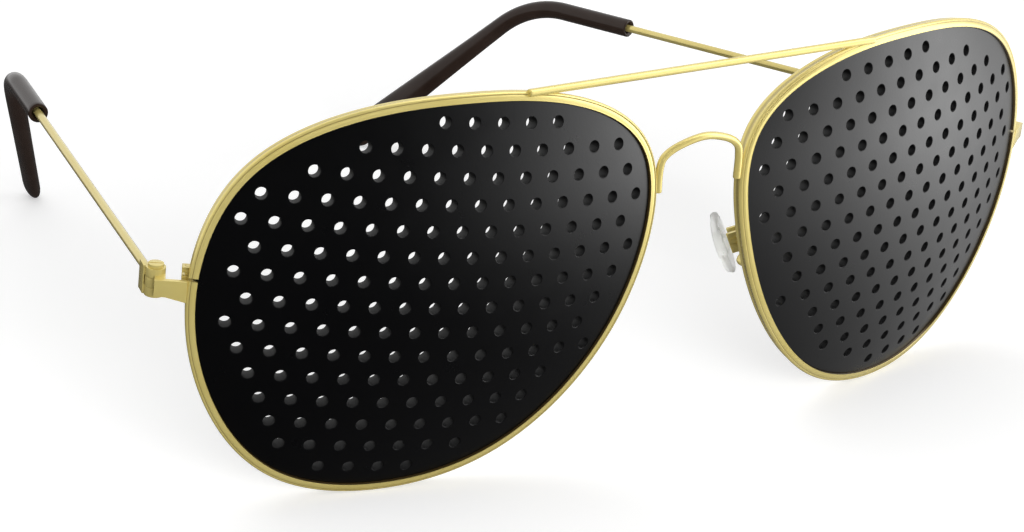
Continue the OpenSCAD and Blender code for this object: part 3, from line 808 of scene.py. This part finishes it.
# Bridge: a wire whose legs run down the nose sides of the rims
bridge = {
    "radius": 0.5,
    "top": 15.9,            # above the lens middles
    "bow": 0.4,             # how far the crown stands forward of the legs
    "sunk": 0.1,            # how deep a leg sits in the rim
    "forward": 0.6,         # of the rim's middle, at a foot
    "leg": 3.0,
    "legBack": 0.2,         # how far a leg leans back over its length
    "shoulder": (0.55, 2.1),  # inside the foot, and below the crown
    "middle": (0.58, 0.8),  # a share of the foot's distance, and below the crown
}


def bridgeWire():
    radius, crown = bridge["radius"], bridge["top"] - bridge["radius"]
    out = eye["rimWide"] + radius - bridge["sunk"]
    foot = fromEye(rimPoint(eye["footAt"], out, -bridge["forward"]))[0]
    legTop = foot + [0, bridge["legBack"], bridge["leg"]]
    inwards, below = bridge["shoulder"]
    shoulder = np.array([foot[0] - inwards, legTop[1], crown - below])
    share, below = bridge["middle"]
    middle = np.array([foot[0] * share, legTop[1] - bridge["bow"] / 2, crown - below])
    top = np.array([0, legTop[1] - bridge["bow"], crown])
    half = [foot, legTop, shoulder, middle]
    other = [p * [-1, 1, 1] for p in reversed(half)]
    goldWire("bridge_wire", "front", "bridge", smoothLine(half + [top] + other), radius)


browWire()
bridgeWire()
print("bars made")

# Hardware: copies of the frame's parts, their sharp edges broken as by tumbling and plating
hardware = {  # node: (piece, body, slot, width of the broken edge in millimetres)
    "end_piece": ("hinge_plate", "front", "gold", 0.09),
    "closing_block_upper": ("closing_block_top", "front", "gold", 0.06),
    "closing_block_lower": ("closing_block_bottom", "front", "gold", 0.06),
    "rim_screw": ("rim_closing_screw", "front", "screw_gold", 0.04),
    "hinge_screw": ("hinge_pin_screw", "front", "screw_gold", 0.05),
    "pad_box": ("pad_holder", "front", "gold", 0.06),
    "pad_screw": ("pad_holder_screw", "front", "screw_gold", 0.03),
    "temple_hinge": ("temple_knuckle", "temple", "gold", 0.06),
    "pad_insert": ("pad_tab", "nose_pad", "insert", 0.05),
}
broken = {
    "flat": 1,      # degrees: faces that turn less are one
    "sharp": 35,    # degrees: edges that turn more are broken
    "segments": 2,
    "profile": 0.6,
    "merge": 1e-6,  # metres, before and after
    "mergeAfter": 1e-7,
}


def eased(node, name, width):
    work = bmesh.new()
    work.from_mesh(frame["nodes"][node].data)
    bmesh.ops.remove_doubles(work, verts=work.verts, dist=broken["merge"])
    bmesh.ops.dissolve_limit(work, angle_limit=math.radians(broken["flat"]), verts=work.verts,
                             edges=work.edges)
    least = math.radians(broken["sharp"])
    sharpEdges = [e for e in work.edges if len(e.link_faces) == 2 and e.calc_face_angle() > least]
    bmesh.ops.bevel(work, geom=sharpEdges, offset=width * mm, segments=broken["segments"], affect="EDGES",
                    profile=broken["profile"], clamp_overlap=True)
    bmesh.ops.remove_doubles(work, verts=work.verts, dist=broken["mergeAfter"])
    mesh = bpy.data.meshes.new(name)
    work.to_mesh(mesh)
    work.free()
    faceOutwards(mesh, sharp=32)
    return linkObject(name, mesh)


def addHardware(name):
    for node, (piece, body, slot, width) in hardware.items():
        made = eased(node + "_" + name, piece + "_" + name, width)
        rider = body if body == "front" else body + "_" + name
        material = padMaterial if slot == "insert" else goldMaterial
        finish(made, rider, material, slot, node + "_" + name)


for name in ("left", "right"):
    addHardware(name)
print("hardware made")

# Temples: a wire and its sleeved tip, drawn along y from the hinge, with the bend downwards
temple = {
    "wire": 0.55,       # radius
    "from": 2.25,       # where the wire starts inside its butt
    "mouth": 65.5,      # where the sleeve starts
    "straight": 12.5,   # from there to the bend
    "splay": 16.6,      # degrees: inwards to the back, down, and the lean of the bend
    "fall": 4.3,
    "earLean": 20.0,
    "earRadius": 15.0,
    "earBend": 46.0,
    "core": 18.0,       # length of the wire past the bend
    "leg": 31.0,        # length of the sleeve past the bend
    "tip": 1.35,        # radius of the round part
    "paddleWide": 4.8,
    "paddleThick": 2.3,
    "legFrom": 0.04,    # share of the leg at its first ring
    "swell": 0.35,      # share of the leg's widening that is eased
    "lip": 0.2,         # rounding of the mouth
    "bore": ((1.6, 0.05), (0.5, 0.17), (0.05, 0.43)),  # depth in the mouth, and width round the wire
    "lipTurns": (0, 30, 60, 90),  # degrees, one for each ring
    "endTurns": (15, 30, 42, 54, 64, 73, 80, 85, 88.5),
    "wireStep": 0.8,
    "ringStep": 1.0,    # along the straight part
    "bendRings": 24,
    "legRings": 26,
    "around": 40,       # points round a ring
}
bendFrom = temple["mouth"] + temple["straight"]
bendEnd = bendFrom + temple["earRadius"] * math.radians(temple["earBend"])


# Along the temple: the point at a distance, and the way outwards in the plane of the bend
def earLine(distance):
    bend, radius = math.radians(temple["earBend"]), temple["earRadius"]
    if distance <= bendFrom:
        return np.array([0, distance, 0]), np.array([0, 0, 1.0])
    angle = min((distance - bendFrom) / radius, bend)
    out = np.array([0, math.sin(angle), math.cos(angle)])
    place = np.array([0, bendFrom, -radius]) + radius * out
    past = distance - bendEnd
    if past > 0:
        place = place + past * np.array([0, math.cos(bend), -math.sin(bend)])
    return place, out


def fromTemple(points):
    earLean, fall = math.radians(temple["earLean"]), math.radians(temple["fall"])
    about = np.array(Matrix.Rotation(-fall, 3, "X") @ Matrix.Rotation(earLean, 3, "Y"))
    return turned(np.atleast_2d(points) @ about.T, temple["splay"]) + hingePlace


def templeWire(side, name):
    distances = np.arange(temple["from"], bendEnd + temple["core"], temple["wireStep"])
    path = fromTemple([earLine(distance)[0] for distance in distances])
    goldWire("temple_wire_gold_" + name, "temple_" + name, "temple_wire_" + name, path, temple["wire"],
             side, sides=24)


# Rings of a tip: distance along, half thickness across, half width in the plane of the bend
def tipStops():
    tip, lip, mouth, leg = temple["tip"], temple["lip"], temple["mouth"], temple["leg"]
    stops = [(mouth + depth, temple["wire"] + more, temple["wire"] + more) for depth, more in temple["bore"]]
    for degrees in temple["lipTurns"]:
        angle = math.radians(degrees)
        radius = tip - lip * (1 - math.sin(angle))
        stops.append((mouth + lip * (1 - math.cos(angle)), radius, radius))
    straight = np.arange(mouth + temple["ringStep"], bendFrom, temple["ringStep"])
    for distance in (*straight, *np.linspace(bendFrom, bendEnd, temple["bendRings"])):
        stops.append((distance, tip, tip))
    thick, wide = temple["paddleThick"] / 2, temple["paddleWide"] / 2
    for share in np.linspace(temple["legFrom"], 1, temple["legRings"]):
        widened = share * share * (3 - 2 * share) * temple["swell"] + share * (1 - temple["swell"])
        stops.append((bendEnd + share * leg, tip + (thick - tip) * widened, tip + (wide - tip) * widened))
    for degrees in temple["endTurns"]:
        angle = math.radians(degrees)
        shrink = math.cos(angle)
        stops.append((bendEnd + leg + wide * math.sin(angle), thick * shrink, wide * shrink))
    return stops


def templeTip(side, name):
    angles = np.linspace(0, 2 * math.pi, temple["around"], endpoint=False)
    rings = []
    for distance, across, within in tipStops():
        place, out = earLine(distance)
        wide, high = np.array([across, 0, 0]), within * out
        turns = [place + math.sin(a) * wide + math.cos(a) * high for a in angles]
        rings.append(inRow(fromTemple(turns), side))
    piece = loft("temple_sleeve_" + name, np.array(rings), sharp=50)
    finish(piece, "temple_" + name, sleeveMaterial, "tip_sleeve", "temple_tip_" + name)


for side, name in bothSides:
    templeWire(side, name)
    templeTip(side, name)
print("temples made")

# Nose pads: clear crowned ovals on bent arms
pad = {
    "height": 8.5,
    "width": 6.0,
    "thick": 1.5,
    "gap": 23.4,          # between the middles of the two pads
    "back": 6.0,          # from the front's middle
    "drop": 4.1,          # below the lens middles
    "splay": 40.0,        # degrees: the face turned to the back
    "flare": 26.0,        # degrees: leaning out below
    "crown": 12.75,       # radius of the face that rests on the nose
    "squareness": 2.25,   # of the outline: an ellipse has 2
    "dish": 0.12,         # how far the back bulges less at its middle
    "faceRings": (0.04, 0.2, 0.4, 0.6, 0.75, 0.87, 0.95),  # shares of the outline
    "edgeRings": ((0.99, 0.25), (1.0, 0.5), (0.985, 0.8)),  # the same, and how far to the back
    "backRings": (0.95, 0.85, 0.6, 0.3, 0.04),
    "around": 72,         # points round a ring
    "pinOut": 1.9,        # from the middle of the pad to its screw
    "boxEnd": 1.35,       # from the screw to the back of its box
}
arm = {
    "radius": 0.45,
    "rimShare": 0.55,       # where it starts across the rim's width
    "sunk": 0.1,            # how deep it starts in the rim's back
    "rise": (0.2, 1.2, 0),  # its first step from the rim
    "bowAt": (1 / 3, 1 / 2, 1 / 3),  # shares of the way from the rim to the last point
    "bow": (0.6, 0.4, 0),   # outwards and back
    "last": (3.1, -0.8, 0.6),  # the point before the box, from the screw, in the pad's own frame
}


# From a pad's own frame: x away from the nose, y along its width, z along its height
def fromPad(points):
    flare = np.array(Matrix.Rotation(math.radians(-pad["flare"]), 3, "Y"))
    turnedPoints = turned(np.atleast_2d(points) @ flare.T, -pad["splay"])
    return turnedPoints + np.array([pad["gap"] / 2, pad["back"], -pad["drop"]])


def nosePad(side, name):
    high, wide, half = pad["height"] / 2, pad["width"] / 2, pad["thick"] / 2
    angles = np.linspace(0, 2 * math.pi, pad["around"], endpoint=False)
    power = 2 / pad["squareness"]
    outlineY, outlineZ = [size * np.sign(wave) * np.abs(wave) ** power
                          for size, wave in ((wide, np.cos(angles)), (high, np.sin(angles)))]

    def ringAt(share, x):
        return np.stack([x, share * outlineY, share * outlineZ], 1)

    def crownAt(share):
        flat = share**2 * (outlineY**2 + outlineZ**2)
        return pad["crown"] - np.sqrt((pad["crown"] + half) ** 2 - flat)

    brim = crownAt(1)
    rings = [ringAt(share, crownAt(share)) for share in pad["faceRings"]]
    rings += [ringAt(share, brim + (half - brim) * mixed) for share, mixed in pad["edgeRings"]]
    for share in pad["backRings"]:
        rings.append(ringAt(share, np.full(pad["around"], half - pad["dish"] * (1 - share))))
    placed = [inRow(fromPad(r), side) for r in rings]
    piece = loft("nose_pad_clear_" + name, np.array(placed), sharp=60)
    finish(piece, "nose_pad_" + name, padMaterial, "pad_silicone", "nose_pad_" + name)


def padArm(side, name):
    out, back = eye["rimWide"] * arm["rimShare"], eye["rimHalf"] - arm["sunk"]
    start = fromEye(rimPoint(eye["armAt"], out, back))[0]
    screw = np.array([pad["pinOut"], 0, 0])
    last = fromPad(screw + arm["last"])[0]
    end = fromPad(screw + [pad["boxEnd"], 0, 0])[0]
    bow = start + (last - start) * arm["bowAt"] + arm["bow"]
    path = smoothLine([start, start + arm["rise"], bow, last, end], steps=10)
    goldWire("pad_arm_wire_" + name, "front", "pad_arm_" + name, path, arm["radius"], side, sides=20)


for side, name in bothSides:
    nosePad(side, name)
    padArm(side, name)
print("nose pads made")

# Stage: a white floor that keeps the soft shadow and glows with painted light in mirrored rays, and a bright
# studio with a darker front
studio = {
    "floorColour": (0.8, 0.8, 0.8),
    "floorReach": 4.0,    # metres, from the middle
    "floorDrop": 0.00003,  # metres below the glasses
    "floorLift": (0.41, 1.0),  # added for the camera, near and far, so that the floor reads white
    "liftSpan": (0.12, 0.4),  # metres
    "glowMiddle": (-0.077, -0.001, 0.0),  # the floor's painted glow, seen in mirrored rays, grows with the distance from here
    "glowNear": (0.1, 0.325),  # over these distances, in metres
    "glowShare": (0.04, 1.0),  # from this share of the studio's brightness
    "glowBase": 0.023,         # least brightness of the painted glow
    "worldLevel": 0.33,
    # where the studio is dark and where it has a bright panel, as mirrored: the way there, the cosines of
    # the angle to it between which the level changes, and the level at both
    "dark": ((-0.194, -0.981, 0.0), (-0.07, 0.97), (1.0, 0.004)),
    "panel": ((0.5, -0.866, 0.0), (0.586, 0.892), (1.0, 5.1)),
}


# Brightness of the studio in a direction: dark at the front, a bright panel, white elsewhere
def studioLevel(tree, direction):
    heading = vectorMath(tree, "NORMALIZE", vectorMath(tree, "MULTIPLY", direction, (1, 1, 0)))

    def facing(way, span, levels):
        return mapRange(tree, vectorMath(tree, "DOT_PRODUCT", heading, way), span, levels, "SMOOTHSTEP")

    return times(tree, facing(*studio["dark"]), facing(*studio["panel"]))


# An empty tree, and two kinds of rays: seen by the camera, also through a clear pad, and mirrored
def emptyTree(owner):
    owner.use_nodes = True
    tree = owner.node_tree
    tree.nodes.clear()
    paths = addNode(tree, "ShaderNodeLightPath").outputs
    seen = addMath(tree, "MAXIMUM", paths["Is Camera Ray"], paths["Is Transmission Ray"])
    return tree, seen, paths["Is Glossy Ray"]


def addFloor():
    reach, low = studio["floorReach"], -studio["floorDrop"]
    corners = [(x * reach, y * reach, low) for x, y in ((-1, -1), (1, -1), (1, 1), (-1, 1))]
    mesh = newMesh("floor", corners, faces=[(0, 1, 2, 3)])
    floor = linkObject("floor", mesh)
    material = bpy.data.materials.new("white floor")
    tree, seen, glossy = emptyTree(material)
    place = addNode(tree, "ShaderNodeTexCoord").outputs["Object"]

    matte = addNode(tree, "ShaderNodeBsdfDiffuse", {"Color": opaque(studio["floorColour"])}).outputs[0]
    lifted = mapRange(tree, vectorMath(tree, "LENGTH", place), studio["liftSpan"], studio["floorLift"])
    lift = addNode(tree, "ShaderNodeEmission", {"Strength": times(tree, seen, lifted)}).outputs[0]
    shown = addNode(tree, "ShaderNodeAddShader", {0: matte, 1: lift}).outputs[0]

    # In mirrored rays the floor shows painted light instead of its lit colour: a glow that is dim near the
    # glasses and rises to the studio's level further out
    heading = vectorMath(tree, "SUBTRACT", place, studio["glowMiddle"])
    away = vectorMath(tree, "LENGTH", heading)
    share = mapRange(tree, away, studio["glowNear"], studio["glowShare"], "SMOOTHSTEP")
    level = plus(tree, times(tree, studioLevel(tree, heading), share), studio["glowBase"])
    paintedGlow = addNode(tree, "ShaderNodeEmission", {"Strength": times(tree, glossy, level)}).outputs[0]
    onlyMirrored = minus(tree, glossy, seen)  # rays through a clear pad are both
    final = addNode(tree, "ShaderNodeMixShader", {0: onlyMirrored, 1: shown, 2: paintedGlow}).outputs[0]
    addNode(tree, "ShaderNodeOutputMaterial", {"Surface": final})
    mesh.materials.append(material)


def addWorld():
    world = bpy.data.worlds.new("studio")
    bpy.context.scene.world = world
    tree, seen, glossy = emptyTree(world)
    direction = addNode(tree, "ShaderNodeTexCoord").outputs["Generated"]

    def glowing(level):
        return addNode(tree, "ShaderNodeBackground", {"Color": (1, 1, 1, 1), "Strength": level}).outputs[0]

    lighting, mirrored = glowing(studio["worldLevel"]), glowing(studioLevel(tree, direction))
    first = addNode(tree, "ShaderNodeMixShader", {0: glossy, 1: lighting, 2: mirrored}).outputs[0]
    final = addNode(tree, "ShaderNodeMixShader", {0: seen, 1: first, 2: glowing(1.0)}).outputs[0]
    addNode(tree, "ShaderNodeOutputWorld", {"Surface": final})


lamps = {  # name: (place in metres, width and height in metres, watts)
    "overhead softbox": ((-0.15, 0.35, 1.1), (1.1, 1.1), 4.5),
    "front softbox": ((-0.3, -1.2, 0.4), (0.9, 0.5), 13.5),
    "side softbox": ((1.05, -0.55, 0.3), (1.0, 0.7), 5.0),
}


def addLamps():
    for name, (place, size, power) in lamps.items():
        data = bpy.data.lights.new(name, "AREA")
        data.shape = "RECTANGLE"
        data.size, data.size_y = size
        data.energy = power
        lamp = linkObject(name, data)
        lamp.visible_glossy = False  # the studio alone is mirrored
        lamp.location = place
        lamp.rotation_euler = (-Vector(place)).to_track_quat("-Z", "Y").to_euler()


camera = {
    "place": (-251.587, -278.941, 156.687),  # millimetres, in the upright front's own frame
    "turn": (66.4426, -6.2286, -36.069),  # degrees
    "lens": 112.392,
    "sensor": 36.0,
    "clip": 0.01,   # metres
}


def addCamera():
    data = bpy.data.cameras.new("camera")
    data.lens = camera["lens"]
    data.sensor_width = camera["sensor"]
    data.sensor_fit = "HORIZONTAL"
    data.clip_start = camera["clip"]
    seenFrom = linkObject("camera", data)
    turn = Euler([math.radians(a) for a in camera["turn"]], "XYZ").to_matrix()
    aimed = (Matrix.Rotation(lean, 3, "X") @ turn).to_4x4()
    seenFrom.matrix_world = Matrix.Translation(Vector(inRow(camera["place"])[0])) @ aimed
    bpy.context.scene.camera = seenFrom


addFloor()
addWorld()
addLamps()
addCamera()
bpy.context.scene.view_settings.view_transform = "Standard"
print("stage set")
